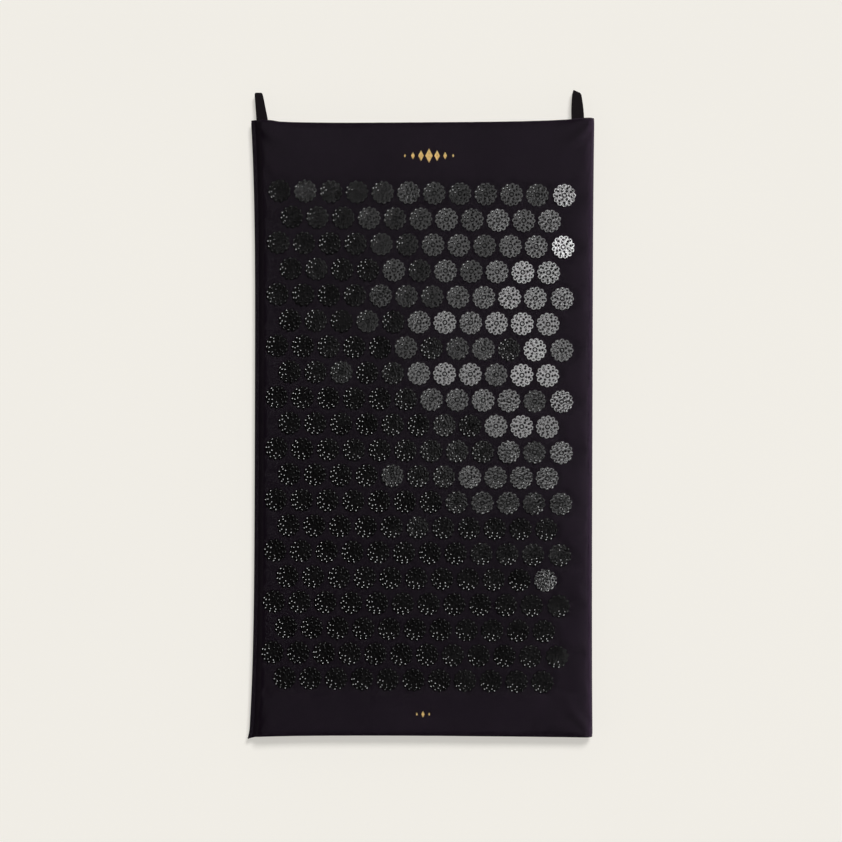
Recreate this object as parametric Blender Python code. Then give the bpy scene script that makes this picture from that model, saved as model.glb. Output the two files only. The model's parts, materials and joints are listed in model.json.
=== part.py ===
"""Acupressure mat: a foam slab in a sewn cotton cover that carries rows of spiked plastic discs.

All sizes are in metres. The mat lies on the floor at z = 0 with its discs up. Its length runs along Y,
with the two hanging loops at the +Y end, and X runs across it. The origin is on the floor, below the
middle of the whole mat, loops included.
"""

import math

import bmesh
import bpy
from mathutils import Matrix, Vector
from mathutils.geometry import delaunay_2d_cdt

# Counts
ROWS = 20
DISCS_IN_LONG_ROW = 12
SEPARATE_ROWS = 4
PETALS = 12
CENTRE_SIDES = PETALS // 2
FUSED_DISC_SIDES = 8

# Spiked disc
DISC_DIAMETER = 0.0280
PLATE_THICKNESS = 0.0012
PETAL_DEPTH = 0.0019
SPIKE_HEIGHT = 0.0036
CENTRE_RADIUS = 0.0030
CENTRE_RIM_CHAMFER = 0.0008
CENTRE_HEIGHT = 0.0009

# Field of discs: a long row, then a short one set over by half a pitch, and so on down the mat
DISC_GAP = 0.0028
ROW_GAP = 0.0026
FIELD_TURN = math.radians(-0.95)
DISC_SPIN_STEP = math.radians(137.5)

# Foam slab
FOAM_THICKNESS = 0.0160
CROWN_RISE = 0.0018

# Sewn cover: the flat cloth between the discs and the rolled edge, then the roll, then the seam's lip
CLOTH_THICKNESS = 0.0010
LEFT_BORDER = 0.0025
RIGHT_BORDER = 0.0139
HEAD_BORDER = 0.0642
FOOT_BORDER = 0.0458
SIDE_ROLL = 0.0080
END_ROLL = 0.0066
SEAM_LIP = 0.0012

# How far the sides of the cover pull in between its corners, and how the corners differ
LEFT_DRAW = 0.0068
RIGHT_DRAW = 0.0017
HEAD_DRAW = 0.0042
FOOT_DRAW = 0.0023
HEAD_LEFT_INSET_X = 0.0036
HEAD_LEFT_INSET_Y = 0.0030
FOOT_RIGHT_INSET_X = 0.0019
FOOT_RIGHT_INSET_Y = 0.0014
EAR_LENGTH = 0.0240
CORNER_ROUNDING = 0.0045
DRAW_FLATNESS = 4

# Hanging loops: a tape folded in half, with both ends sewn into the head seam
TAPE_THICKNESS = 0.0011
TAPE_ROOT_WIDTH = 0.0138
TAPE_FOLD_WIDTH = 0.0100
TAPE_FOLD_ROUNDING = 0.0034
LOOP_FOLD_DISTANCE = 0.0262
LOOP_FOLD_RADIUS = 0.0048
LOOP_EYE_START = 0.0080
LEFT_LOOP_INSET = 0.0170
RIGHT_LOOP_INSET = 0.0200
LEFT_LOOP_LEAN = math.radians(7.5)
RIGHT_LOOP_LEAN = math.radians(0.5)

# Clearance between pieces that touch
TOUCH_GAP = 0.0003

# Facets
ROLL_STEPS = 3
END_PANELS = 4
SIDE_PANELS = 6
FOLD_STEPS = 8
ROOT_STEPS = 4
CROWN_RING_SHARES = (0.62, 0.28)

# Sizes that follow from those above
DISC_RADIUS = DISC_DIAMETER / 2
COLUMN_PITCH = DISC_DIAMETER + DISC_GAP
ROW_PITCH = DISC_DIAMETER + ROW_GAP
FIELD_WIDTH = (DISCS_IN_LONG_ROW - 1) * COLUMN_PITCH + DISC_DIAMETER
FIELD_LENGTH = (ROWS - 1) * ROW_PITCH + DISC_DIAMETER
BACK_FOAM_Z = CLOTH_THICKNESS + TOUCH_GAP
SEAM_Z = BACK_FOAM_Z + FOAM_THICKNESS / 2
TOP_Z = BACK_FOAM_Z + FOAM_THICKNESS + TOUCH_GAP + CLOTH_THICKNESS
LOOP_REACH = LOOP_FOLD_DISTANCE + LOOP_FOLD_RADIUS


def draw_share(u):
    """How much of a side's full draw it has at u, where u is 0 at its middle and 1 at its corners."""
    return 1 - abs(u) ** DRAW_FLATNESS


def margin(border, draw, roll, half_across):
    """From the outermost discs to the corner of the cover, so that the turned field clears the roll."""
    steps = range(0, 101, 5)
    swing = half_across * abs(math.sin(FIELD_TURN))
    pinch = max(draw * draw_share(step / 100) + swing * step / 100 for step in steps)
    return border + pinch + roll + SEAM_LIP


LEFT_MARGIN = margin(LEFT_BORDER, LEFT_DRAW, SIDE_ROLL, FIELD_LENGTH / 2)
RIGHT_MARGIN = margin(RIGHT_BORDER, RIGHT_DRAW, SIDE_ROLL, FIELD_LENGTH / 2)
HEAD_MARGIN = margin(HEAD_BORDER, HEAD_DRAW, END_ROLL, FIELD_WIDTH / 2)
FOOT_MARGIN = margin(FOOT_BORDER, FOOT_DRAW, END_ROLL, FIELD_WIDTH / 2)
HALF_WIDTH = (FIELD_WIDTH + LEFT_MARGIN + RIGHT_MARGIN) / 2
HALF_LENGTH = (FIELD_LENGTH + HEAD_MARGIN + FOOT_MARGIN) / 2
FIELD_CENTRE = Vector(((LEFT_MARGIN - RIGHT_MARGIN) / 2, (FOOT_MARGIN - HEAD_MARGIN) / 2))


def crown(x, y):
    """How far the padded top rises at a place, above its height at the rolled edge."""
    across = 1 - (x / HALF_WIDTH) ** 2
    along = 1 - (y / HALF_LENGTH) ** 2
    return CROWN_RISE * across * along


def cover_outline():
    """The sewn outline seen from above, anticlockwise from the foot's left corner, and its corners' places."""
    foot_left = Vector((-HALF_WIDTH, -HALF_LENGTH))
    foot_right = Vector((HALF_WIDTH - FOOT_RIGHT_INSET_X, FOOT_RIGHT_INSET_Y - HALF_LENGTH))
    head_right = Vector((HALF_WIDTH, HALF_LENGTH))
    head_left = Vector((HEAD_LEFT_INSET_X - HALF_WIDTH, HALF_LENGTH - HEAD_LEFT_INSET_Y))
    sides = (
        (foot_left, foot_right, FOOT_DRAW, END_PANELS),
        (foot_right, head_right, RIGHT_DRAW, SIDE_PANELS),
        (head_right, head_left, HEAD_DRAW, END_PANELS),
        (head_left, foot_left, LEFT_DRAW, SIDE_PANELS),
    )
    points = []
    corners = []
    for start, end, draw, panels in sides:
        along = end - start
        inward = Vector((-along.y, along.x)).normalized()
        ear = EAR_LENGTH / along.length
        shares = [ear + (1 - 2 * ear) * step / panels for step in range(panels + 1)]
        corners.append(len(points))
        points.append(start)
        for share in shares:
            points.append(start + along * share + inward * draw * draw_share(2 * share - 1))
    return points, corners


OUTLINE, CORNERS = cover_outline()


def ring(side_inset, end_inset, rounding, height):
    """The outline drawn in by an inset on each side, with its corners rounded off, as 3D points."""
    points = []
    for index, point in enumerate(OUTLINE):
        x = point.x * (1 - side_inset / HALF_WIDTH)
        y = point.y * (1 - end_inset / HALF_LENGTH)
        if index in CORNERS:
            x -= math.copysign(rounding, x)
            y -= math.copysign(rounding, y)
        points.append(Vector((x, y, height(x, y))))
    return points


def roll_rings(depth, base, top):
    """Rings from the seam's level to the crest of the rolled edge, at a depth below the cover's outside."""
    rings = []
    for step in range(ROLL_STEPS + 1):
        angle = math.radians(90) * step / ROLL_STEPS
        turned = 1 - math.cos(angle)
        risen = math.sin(angle)
        side = SEAM_LIP + depth + (SIDE_ROLL - depth) * turned
        end = SEAM_LIP + depth + (END_ROLL - depth) * turned

        def height(x, y, risen=risen):
            return base + (top(x, y) - base) * risen

        rings.append(ring(side, end, CORNER_ROUNDING * risen, height))
    return rings


def front_rings(depth, base):
    """The rolled edge of the padded front, at a depth below the cloth's outside."""
    return roll_rings(depth, base, lambda x, y: TOP_Z + crown(x, y) - depth)


def back_rings(depth, base):
    """The rolled edge of the flat back, at a depth above the floor."""
    return roll_rings(depth, base, lambda x, y: depth)


def crown_rings(crest, depth):
    """Rings inside the crest of the roll, which carry the crown to the middle of the mat."""
    rings = []
    for share in CROWN_RING_SHARES:
        flat = [point * share for point in crest]
        rings.append([Vector((p.x, p.y, TOP_Z + crown(p.x, p.y) - depth)) for p in flat])
    return rings


def add_ring(bm, points):
    return [bm.verts.new(point) for point in points]


def bridge(bm, first, second):
    """A band of triangles between two rings of as many points, cut alike in every layer of the mat."""
    count = len(first)
    for index in range(count):
        after = (index + 1) % count
        bm.faces.new((first[index], first[after], second[after]))
        bm.faces.new((first[index], second[after], second[index]))


def bridge_all(bm, rings):
    for first, second in zip(rings, rings[1:]):
        bridge(bm, first, second)


def material(name, colour, roughness, metallic=0.0):
    made = bpy.data.materials.new(name)
    made.use_nodes = True
    shader = made.node_tree.nodes["Principled BSDF"]
    shader.inputs["Base Color"].default_value = (*colour, 1.0)
    shader.inputs["Roughness"].default_value = roughness
    shader.inputs["Metallic"].default_value = metallic
    return made


def finish_mesh(bm, name):
    """Turns a closed bmesh into a mesh with its faces out, smooth but for its real edges."""
    bmesh.ops.recalc_face_normals(bm, faces=bm.faces)
    mesh = bpy.data.meshes.new(name)
    bm.to_mesh(mesh)
    bm.free()
    mesh.shade_smooth()
    mesh.set_sharp_from_angle(angle=math.radians(35))
    return mesh


def add_object(name, mesh, parent, look, location=(0, 0, 0)):
    obj = bpy.data.objects.new(name, mesh)
    bpy.context.scene.collection.objects.link(obj)
    obj.parent = parent
    obj.location = location
    if not mesh.materials:
        mesh.materials.append(look)
    return obj


def disc_places():
    """Row, column and centre of every disc, in the mat's own plane."""
    turn = Matrix.Rotation(FIELD_TURN, 2)
    places = []
    for row in range(ROWS):
        count = DISCS_IN_LONG_ROW - row % 2
        y = ((ROWS - 1) / 2 - row) * ROW_PITCH
        for column in range(count):
            x = (column - (count - 1) / 2) * COLUMN_PITCH
            places.append((row, column, FIELD_CENTRE + turn @ Vector((x, y))))
    return places


def polygon(centre, radius, sides, spin):
    """Corners of a regular polygon, anticlockwise."""
    angles = [spin + math.tau * side / sides for side in range(sides)]
    return [centre + radius * Vector((math.cos(angle), math.sin(angle))) for angle in angles]


def disc_mesh():
    """A rosette of twelve petals: a spike on each petal, nine inside them, six round the centre boss."""
    bm = bmesh.new()
    valley_radius = DISC_RADIUS - PETAL_DEPTH
    middle = Vector((0, 0))
    half_petal = math.pi / PETALS

    def corners(radius, sides, spin, z):
        return [bm.verts.new((*p, z)) for p in polygon(middle, radius, sides, spin)]

    foot = corners(valley_radius, PETALS, 0, 0)
    valleys = corners(valley_radius, PETALS, 0, PLATE_THICKNESS)
    tips = corners(DISC_RADIUS, PETALS, half_petal, PLATE_THICKNESS)
    centre = corners(CENTRE_RADIUS, CENTRE_SIDES, 2 * half_petal, PLATE_THICKNESS)
    boss_radius = CENTRE_RADIUS - CENTRE_RIM_CHAMFER
    boss_top = PLATE_THICKNESS + CENTRE_HEIGHT
    boss = corners(boss_radius, CENTRE_SIDES, 2 * half_petal, boss_top)

    bm.faces.new(reversed(foot))
    bm.faces.new(boss)
    bridge(bm, centre, boss)
    spiked = []
    for index in range(PETALS):
        after = (index + 1) % PETALS
        bm.faces.new((foot[index], foot[after], tips[index]))
        bm.faces.new((foot[index], tips[index], valleys[index]))
        bm.faces.new((foot[after], valleys[after], tips[index]))
        spiked.append(bm.faces.new((valleys[index], tips[index], valleys[after])))
        inner = bm.faces.new((valleys[index], valleys[after], centre[index // 2]))
        if index % 4 != 3:
            spiked.append(inner)
    for index in range(CENTRE_SIDES):
        after = (index + 1) % CENTRE_SIDES
        outer = valleys[(2 * index + 2) % PETALS]
        spiked.append(bm.faces.new((centre[index], outer, centre[after])))
    bm.normal_update()
    bmesh.ops.poke(bm, faces=spiked, offset=SPIKE_HEIGHT)
    return finish_mesh(bm, "spike_disc")


def crown_tilt(centre):
    """The turn that lays a disc flat on the crowned cloth at its centre."""
    step = DISC_RADIUS
    rise_x = crown(centre.x + step, centre.y) - crown(centre.x - step, centre.y)
    rise_y = crown(centre.x, centre.y + step) - crown(centre.x, centre.y - step)
    normal = Vector((-rise_x, -rise_y, DISC_DIAMETER))
    return normal.to_track_quat("Z", "Y").to_matrix().to_4x4()


def add_discs(places, parent, look):
    """The discs of the rows nearest the head, each its own piece, lying on its seat."""
    mesh = disc_mesh()
    for index, (row, column, centre) in enumerate(places):
        if row >= SEPARATE_ROWS:
            continue
        name = f"spike_disc_r{row + 1:02d}_c{column + 1:02d}"
        disc = add_object(name, mesh, parent, look)
        seat_z = TOP_Z + crown(centre.x, centre.y) + TOUCH_GAP
        place = Matrix.Translation((centre.x, centre.y, seat_z))
        disc.matrix_local = place @ crown_tilt(centre) @ Matrix.Rotation(index * DISC_SPIN_STEP, 4, "Z")


def add_top_cloth(bm, crest, places):
    """The padded top inside the crest: cloth between the discs, and the discs that are welded to it.

    The rows past the separate ones are fused with the cloth that carries them, with fewer spikes,
    because an object of 230 separate discs has too many pieces and faces. Under each separate disc the
    cloth has only the corners of its seat.
    """
    flat = [point.co.to_2d() for point in crest]
    outlines = [list(range(len(crest)))]
    for index, (row, _, centre) in enumerate(places):
        sides = FUSED_DISC_SIDES if row >= SEPARATE_ROWS else CENTRE_SIDES
        first = len(flat)
        flat.extend(polygon(centre, DISC_RADIUS, sides, index * DISC_SPIN_STEP))
        outlines.append(list(range(first, first + sides)))

    # The triangulation works in disc diameters, so that its own tolerance suits any size
    unit = [point / DISC_DIAMETER for point in flat]
    result = delaunay_2d_cdt(unit, [], outlines, 1, 1e-6)
    triangles, sources, inside = result[2], result[3], result[5]

    verts = list(crest)
    for point in flat[len(crest):]:
        verts.append(bm.verts.new((point.x, point.y, TOP_Z + crown(point.x, point.y))))
    fused = {
        number + 1
        for number, (row, _, _) in enumerate(places)
        if row >= SEPARATE_ROWS
    }
    for triangle, regions in zip(triangles, inside):
        if not fused.intersection(regions):
            bm.faces.new([verts[sources[corner][0]] for corner in triangle])

    plates = []
    for number in sorted(fused):
        base = [verts[corner] for corner in outlines[number]]
        rim = [bm.verts.new(vert.co + Vector((0, 0, PLATE_THICKNESS))) for vert in base]
        bridge(bm, base, rim)
        plates.append(bm.faces.new(rim))
    fans = bmesh.ops.poke(bm, faces=plates)["faces"]
    bm.normal_update()
    bmesh.ops.poke(bm, faces=fans, offset=SPIKE_HEIGHT)


def front_panel_mesh(places):
    """The cover's front: cotton over the foam's top and down to the seam, with a lip along the seam."""
    bm = bmesh.new()
    lip_under = SEAM_Z + TOUCH_GAP / 2
    lip_top = lip_under + CLOTH_THICKNESS
    outside = [ring(0, 0, 0, lambda x, y: lip_top)] + front_rings(0, lip_top)
    inside = [ring(0, 0, 0, lambda x, y: lip_under)] + front_rings(CLOTH_THICKNESS, lip_under)
    inside += crown_rings(inside[-1], CLOTH_THICKNESS)
    outer = [add_ring(bm, points) for points in outside]
    inner = [add_ring(bm, points) for points in inside]
    bridge_all(bm, outer)
    bridge_all(bm, inner)
    bridge(bm, inner[0], outer[0])
    add_top_cloth(bm, outer[-1], places)
    close_middle(bm, inner[-1], CLOTH_THICKNESS)
    return finish_mesh(bm, "front_panel")


def close_middle(bm, last, depth):
    """A fan of faces over the last ring, up to the height of the crown in the middle."""
    cap = bm.faces.new(last)
    middle = bmesh.ops.poke(bm, faces=[cap])["verts"][0]
    middle.co = (0, 0, TOP_Z + crown(0, 0) - depth)


def back_panel_mesh():
    """The cover's back: flat on the floor, rolled up to the seam, with a lip under the front's."""
    bm = bmesh.new()
    lip_top = SEAM_Z - TOUCH_GAP / 2
    lip_under = lip_top - CLOTH_THICKNESS
    outside = [ring(0, 0, 0, lambda x, y: lip_under)] + back_rings(0, lip_under)
    inside = [ring(0, 0, 0, lambda x, y: lip_top)] + back_rings(CLOTH_THICKNESS, lip_top)
    outer = [add_ring(bm, points) for points in outside]
    inner = [add_ring(bm, points) for points in inside]
    bridge_all(bm, outer)
    bridge_all(bm, inner)
    bridge(bm, inner[0], outer[0])
    bm.faces.new(outer[-1])
    bm.faces.new(inner[-1])
    return finish_mesh(bm, "back_panel")


def foam_mesh():
    """The foam slab: flat below, crowned above, with soft edges that fill the cover's roll."""
    bm = bmesh.new()
    depth = CLOTH_THICKNESS + TOUCH_GAP
    above = front_rings(depth, SEAM_Z)
    above += crown_rings(above[-1], depth)
    upper = [add_ring(bm, points) for points in above]
    lower = [add_ring(bm, points) for points in back_rings(depth, SEAM_Z)[1:]]
    bridge_all(bm, upper)
    bridge_all(bm, [upper[0]] + lower)
    bm.faces.new(lower[-1])
    close_middle(bm, upper[-1], depth)
    return finish_mesh(bm, "foam_insert")


def teardrop(start, start_radius, end, end_radius):
    """A belt round two circles whose centres lie along Y, as points (y, z), anticlockwise."""
    taper = math.asin((end_radius - start_radius) / (end - start))
    points = []
    for step in range(FOLD_STEPS + 1):
        angle = (math.pi / 2 + taper) * (2 * step / FOLD_STEPS - 1)
        points.append((end + end_radius * math.cos(angle), end_radius * math.sin(angle)))
    for step in range(ROOT_STEPS + 1):
        angle = math.pi / 2 + taper + (math.pi - 2 * taper) * step / ROOT_STEPS
        points.append((start + start_radius * math.cos(angle), start_radius * math.sin(angle)))
    return points


def loop_mesh(name, lean):
    """A folded tape round its eye, along +Y from the seam, as a closed ring with tapering width."""
    bm = bmesh.new()
    widening = (LOOP_FOLD_RADIUS - TAPE_THICKNESS) / LOOP_FOLD_DISTANCE
    eye_radius = LOOP_EYE_START * widening
    outside = teardrop(0, TAPE_THICKNESS, LOOP_FOLD_DISTANCE, LOOP_FOLD_RADIUS)
    eye = teardrop(LOOP_EYE_START, eye_radius, LOOP_FOLD_DISTANCE, LOOP_FOLD_RADIUS - TAPE_THICKNESS)

    def edge(points, side):
        verts = []
        for y, z in points:
            taper = max(0, y) / LOOP_REACH
            past_fold = max(0, y - LOOP_FOLD_DISTANCE) / LOOP_FOLD_RADIUS
            width = TAPE_ROOT_WIDTH + (TAPE_FOLD_WIDTH - TAPE_ROOT_WIDTH) * taper
            width -= TAPE_FOLD_ROUNDING * past_fold ** 2
            x = side * width / 2 - y * math.tan(lean)
            verts.append(bm.verts.new((x, y, z)))
        return verts

    left_outside, right_outside = edge(outside, -1), edge(outside, 1)
    left_eye, right_eye = edge(eye, -1), edge(eye, 1)
    bridge(bm, left_outside, right_outside)
    bridge(bm, left_eye, right_eye)
    bridge(bm, left_outside, left_eye)
    bridge(bm, right_outside, right_eye)
    return finish_mesh(bm, name)


def head_seam_y(x):
    """The furthest that the head seam reaches over a tape's width about x."""
    reach = []
    for start, end in zip(OUTLINE, OUTLINE[1:]):
        if start.y < 0 or end.y < 0 or abs(end.x - start.x) < TAPE_THICKNESS:
            continue
        low, high = sorted((start.x, end.x))
        for place in (x - TAPE_ROOT_WIDTH / 2, x, x + TAPE_ROOT_WIDTH / 2):
            if low <= place <= high:
                share = (place - start.x) / (end.x - start.x)
                reach.append(start.y + (end.y - start.y) * share)
    return max(reach)


def loop_droop():
    """How far a loop hangs below level, so that its fold just clears the floor."""
    fall = SEAM_Z - LOOP_FOLD_RADIUS - TOUCH_GAP
    return math.asin(fall / LOOP_FOLD_DISTANCE)


def add_loop(name, x, lean, parent, look):
    """A hanging loop with its origin on the line where its tape folds at the seam."""
    y = head_seam_y(x) + TOUCH_GAP + TAPE_THICKNESS
    loop = add_object(name, loop_mesh(name, lean), parent, look, (x, y, SEAM_Z))
    loop.rotation_euler.x = -loop_droop()
    return y + LOOP_FOLD_DISTANCE * math.cos(loop_droop()) + LOOP_FOLD_RADIUS


def build():
    for obj in list(bpy.data.objects):
        bpy.data.objects.remove(obj)
    cotton = material("black_cotton", (0.012, 0.010, 0.013), 0.62)
    foam = material("white_foam", (0.78, 0.76, 0.70), 0.90)
    tape = material("black_tape", (0.010, 0.009, 0.011), 0.70)
    plastic = material("black_abs", (0.010, 0.010, 0.011), 0.22)

    mat = bpy.data.objects.new("mat", None)
    bpy.context.scene.collection.objects.link(mat)
    places = disc_places()
    add_object("foam_insert", foam_mesh(), mat, foam)
    add_object("front_panel", front_panel_mesh(places), mat, cotton)
    add_object("back_panel", back_panel_mesh(), mat, cotton)
    add_discs(places, mat, plastic)
    left_x = LEFT_LOOP_INSET - HALF_WIDTH
    right_x = HALF_WIDTH - RIGHT_LOOP_INSET
    left_end = add_loop("hanging_loop_left", left_x, LEFT_LOOP_LEAN, mat, tape)
    right_end = add_loop("hanging_loop_right", right_x, RIGHT_LOOP_LEAN, mat, tape)

    # The origin lies below the middle of the mat's whole length, from its foot to its loops' folds
    mat.location.y = (HALF_LENGTH - max(left_end, right_end)) / 2


build()
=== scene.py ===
import json
import math

import bpy
import numpy as np
from mathutils import Matrix, Vector, noise


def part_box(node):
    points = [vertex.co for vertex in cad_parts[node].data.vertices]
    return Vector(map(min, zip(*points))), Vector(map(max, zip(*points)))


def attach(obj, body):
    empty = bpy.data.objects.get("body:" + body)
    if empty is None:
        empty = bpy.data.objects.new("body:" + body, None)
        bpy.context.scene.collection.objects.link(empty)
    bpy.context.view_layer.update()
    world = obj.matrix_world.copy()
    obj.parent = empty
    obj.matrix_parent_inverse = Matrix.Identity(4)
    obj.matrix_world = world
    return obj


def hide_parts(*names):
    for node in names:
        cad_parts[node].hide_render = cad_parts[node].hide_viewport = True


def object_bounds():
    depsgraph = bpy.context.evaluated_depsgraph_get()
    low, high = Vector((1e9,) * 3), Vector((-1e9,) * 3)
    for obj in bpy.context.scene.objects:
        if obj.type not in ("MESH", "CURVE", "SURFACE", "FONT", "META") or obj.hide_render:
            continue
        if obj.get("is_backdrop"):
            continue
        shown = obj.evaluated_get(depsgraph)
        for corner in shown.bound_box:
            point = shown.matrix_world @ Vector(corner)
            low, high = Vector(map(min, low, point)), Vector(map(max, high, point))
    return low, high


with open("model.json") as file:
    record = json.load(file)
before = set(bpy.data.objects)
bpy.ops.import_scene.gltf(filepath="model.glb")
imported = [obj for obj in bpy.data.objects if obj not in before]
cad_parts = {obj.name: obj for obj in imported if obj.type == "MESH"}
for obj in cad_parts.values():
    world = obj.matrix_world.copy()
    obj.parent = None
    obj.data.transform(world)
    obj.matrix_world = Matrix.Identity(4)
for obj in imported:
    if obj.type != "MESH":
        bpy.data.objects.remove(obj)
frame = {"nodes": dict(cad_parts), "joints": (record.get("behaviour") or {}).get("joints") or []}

# An acupressure mat, lying flat with its discs up. Sizes are in metres. Its outline, its disc places and
# its loops come from the frame: +Y is the head end with the hanging loops, +X runs across.
cad_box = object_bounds()

# The cover's outline, from the front panel, and the seam's height, from the loops' hinges
OUTLINE_LOW, OUTLINE_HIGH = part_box("front_panel")
HALF_WIDTH = (OUTLINE_HIGH.x - OUTLINE_LOW.x) / 2
HALF_LENGTH = (OUTLINE_HIGH.y - OUTLINE_LOW.y) / 2
MIDDLE_Y = (OUTLINE_HIGH.y + OUTLINE_LOW.y) / 2
HINGES = {joint["child"]: Vector(joint["pos_m"]) for joint in frame["joints"]}
SEAM_Z = HINGES["loop_left"].z

# Where the cover's corners lie inside that box, and how far its sides draw in between them
HEAD_LEFT_INSET = (0.0036, 0.0029)
FOOT_LEFT_INSET = (0.0013, 0.0008)
FOOT_RIGHT_INSET = (0.0022, 0.0010)
LEFT_DRAW, RIGHT_DRAW, HEAD_DRAW, FOOT_DRAW = 0.0058, 0.0012, 0.0042, 0.0026
LOOP_HOLD_LEFT, LOOP_HOLD_RIGHT = (0.019, 0.037), (0.006, 0.034)
FOOT_SKEW = 0.6
EAR, EAR_LENGTH = 0.0016, 0.0055
CORNER_ROUNDING, CORNER_ROUNDING_LENGTH = 0.0006, 0.0030

# The padded form: rolled edges, crown and the seam. A lower roll power gathers the rings away from the seam.
LEFT_ROLL, RIGHT_ROLL, HEAD_ROLL, FOOT_ROLL = 0.0130, 0.0095, 0.0036, 0.0020
LEFT_FLANGE = 0.0045
LEFT_ROLL_POWER = 0.8
ROLL_RINGS = 8
ROLL_TOP = 0.0186
CROWN_RISE = 0.0018
SEAM_TUCK = 0.0007
SEAM_HALF_GAP = 0.0001
SEAM_LIP = 0.0008
CLOTH_THICKNESS = 0.0008
CLOTH_STEP = 0.0036
FLOOR_GAP = 0.0002
FOAM_INSET = 0.0022
FOAM_STEP = 3

# The cloth's own relief: folds at the corners, a puff between the discs, swells as height, width, stretch
# along the mat and seed, and a pucker along the seam. Under the discs a share of the folds and swells is left.
FOLD_HEIGHT, FOLD_START, FOLD_REACH = 0.0006, 0.008, 0.045
FOLD_WAVES, FOLD_TURN_OFFSET, FOLD_PHASE = 11, 0.004, (40, 9)
PUFF, PUFF_REACH, PUFF_SHARE = 0.0003, 0.0035, 0.8
SWELLS = ((0.0007, 0.070, 1.0, 3.1), (0.0004, 0.045, 2.2, 8.7))
HELD_RELIEF, FREE_REACH = 0.12, 0.020
PUCKER, PUCKER_WIDTH, PUCKER_SEED = 0.0005, 0.0085, 5.3
BACK_WAVE, BACK_WAVE_WIDTH, BACK_WAVE_SEED = 0.00025, 0.050, 12.5

# The cloth's simulation: the foam's push, the cloth's slack as a share of its size, and how far it may move
SIM_PRESSURE = 2.0
SIM_SLACK = 0.004
SIM_FRAMES = 20
SIM_HELD_RISE = 0.9
SIM_CAP = np.array((0.0005, 0.0005, 0.0007))

# Spiked disc: a petalled plate with a V-shaped groove round its boss
DISC_RADIUS = 0.0140
PETALS = 12
PETAL_RADIUS = 0.0030
PETAL_STEPS = 6
PLATE_THICKNESS = 0.0012
PLATE_EDGE, PLATE_EDGE_DROP = 0.00012, 0.00022
PLATE_RINGS = (0.0104, 0.0065)
DISH = 0.00003
GROOVE_OUTER, GROOVE_BOTTOM, GROOVE_INNER, GROOVE_DEPTH = 0.0031, 0.0022, 0.0018, 0.0008
BOSS_SIDE_DROP, BOSS_TOP_DROP, BOSS_EDGE, BOSS_MIDDLE = 0.0004, 0.0001, 0.0002, 0.0006

# Its spikes, from the petals to the middle: number, distance, turn in half petals and width scale of each
# ring. The profile is radius and height up to the tip, which is cut towards the disc's middle.
SPIKE_RINGS = ((PETALS, 0.0116, 0.0, 0.8), (9, 0.0090, 0.5, 1.0), (6, 0.0057, 0.0, 1.0))
SPIKE_SIDES = 8
SPIKE_HEIGHT = 0.0036
SPIKE_TIP = 0.00042
SPIKE_PROFILE = ((0.00178, 0.0), (0.00136, 0.00055), (0.00062, 0.0018))
SPIKE_LEAN = math.radians(8)
TIP_CUT = math.radians(16)
SPIKE_SINK = 0.0003

# How the discs sit on the cloth. Those that sit plainly askew are named by row and column from 0, with the
# degrees that they tip towards the glare of the softboxes, to the upper right, or away from it.
DISC_GAP = 0.0002
DISC_TIP_SPREAD = math.radians(1.9)
HASH_INDEX, HASH_SALT, HASH_SCALE = 127.1, 311.7, 43758.5453
GLARE_X, GLARE_Y = 0.85, 0.53
ASKEW = {(0, 0): -3, (0, 1): 3.5, (0, 2): -1, (0, 3): -2, (0, 5): 1, (0, 6): -3, (0, 7): -2, (0, 8): -3.5,
         (0, 9): -4, (0, 10): -4, (0, 11): 3, (2, 1): -2.5, (2, 6): 1, (2, 8): -2, (2, 10): -1, (2, 11): 5,
         (4, 3): -1.5, (4, 4): 3, (4, 7): 1, (4, 8): -1, (4, 9): 1.5, (4, 10): -1, (4, 11): -1, (6, 3): -1.5,
         (6, 5): 2, (6, 6): -3, (6, 7): -1, (6, 8): -1, (6, 9): -4, (6, 10): -1, (6, 11): -3, (8, 6): 1,
         (8, 7): 1, (8, 8): -2, (8, 10): -2, (8, 11): 3.5, (10, 7): -2, (10, 9): 5, (10, 10): -1, (12, 9): 2,
         (12, 10): 2.5, (12, 11): 2, (13, 7): -2, (13, 8): -2, (15, 10): 5}
ROWS = 20
LONG_ROW = 12

# How the real cover has drawn the field of discs: a sideways sway along the mat, a bulge towards the foot,
# and the last disc of each long row a little further out
SWAY, SWAY_START = 0.00124, 12.8
BULGE = 0.00157
LAST_SHIFT = 0.00144


# Plan of the cover
def smooth(value):
    """A share from 0 to 1, eased at both ends."""
    value = np.clip(value, 0, 1)
    return value * value * (3 - 2 * value)


def edge_curve(start, end, draw, share, power=4, skew=1.0, holds=(None, None)):
    """Points of one sewn side, which draws in between its corners, at shares of its length. A hold is a
    stretch at a corner, from and to these distances, over which a loop keeps the side from drawing in."""
    start, end = np.array(start), np.array(end)
    along = end - start
    length = np.linalg.norm(along)
    inward = np.array((-along[1], along[0])) / length
    share = np.asarray(share)
    pulled = draw * (1 - np.abs(2 * share ** skew - 1) ** power)
    for hold, distance in zip(holds, (share * length, (1 - share) * length)):
        if hold:
            pulled = pulled * smooth((distance - hold[0]) / (hold[1] - hold[0]))
    return start + along * share[:, None] + inward * pulled[:, None]


FOOT_LEFT = (FOOT_LEFT_INSET[0] - HALF_WIDTH, FOOT_LEFT_INSET[1] - HALF_LENGTH)
FOOT_RIGHT = (HALF_WIDTH - FOOT_RIGHT_INSET[0], FOOT_RIGHT_INSET[1] - HALF_LENGTH)
HEAD_RIGHT = (HALF_WIDTH, HALF_LENGTH)
HEAD_LEFT = (HEAD_LEFT_INSET[0] - HALF_WIDTH, HALF_LENGTH - HEAD_LEFT_INSET[1])


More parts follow.
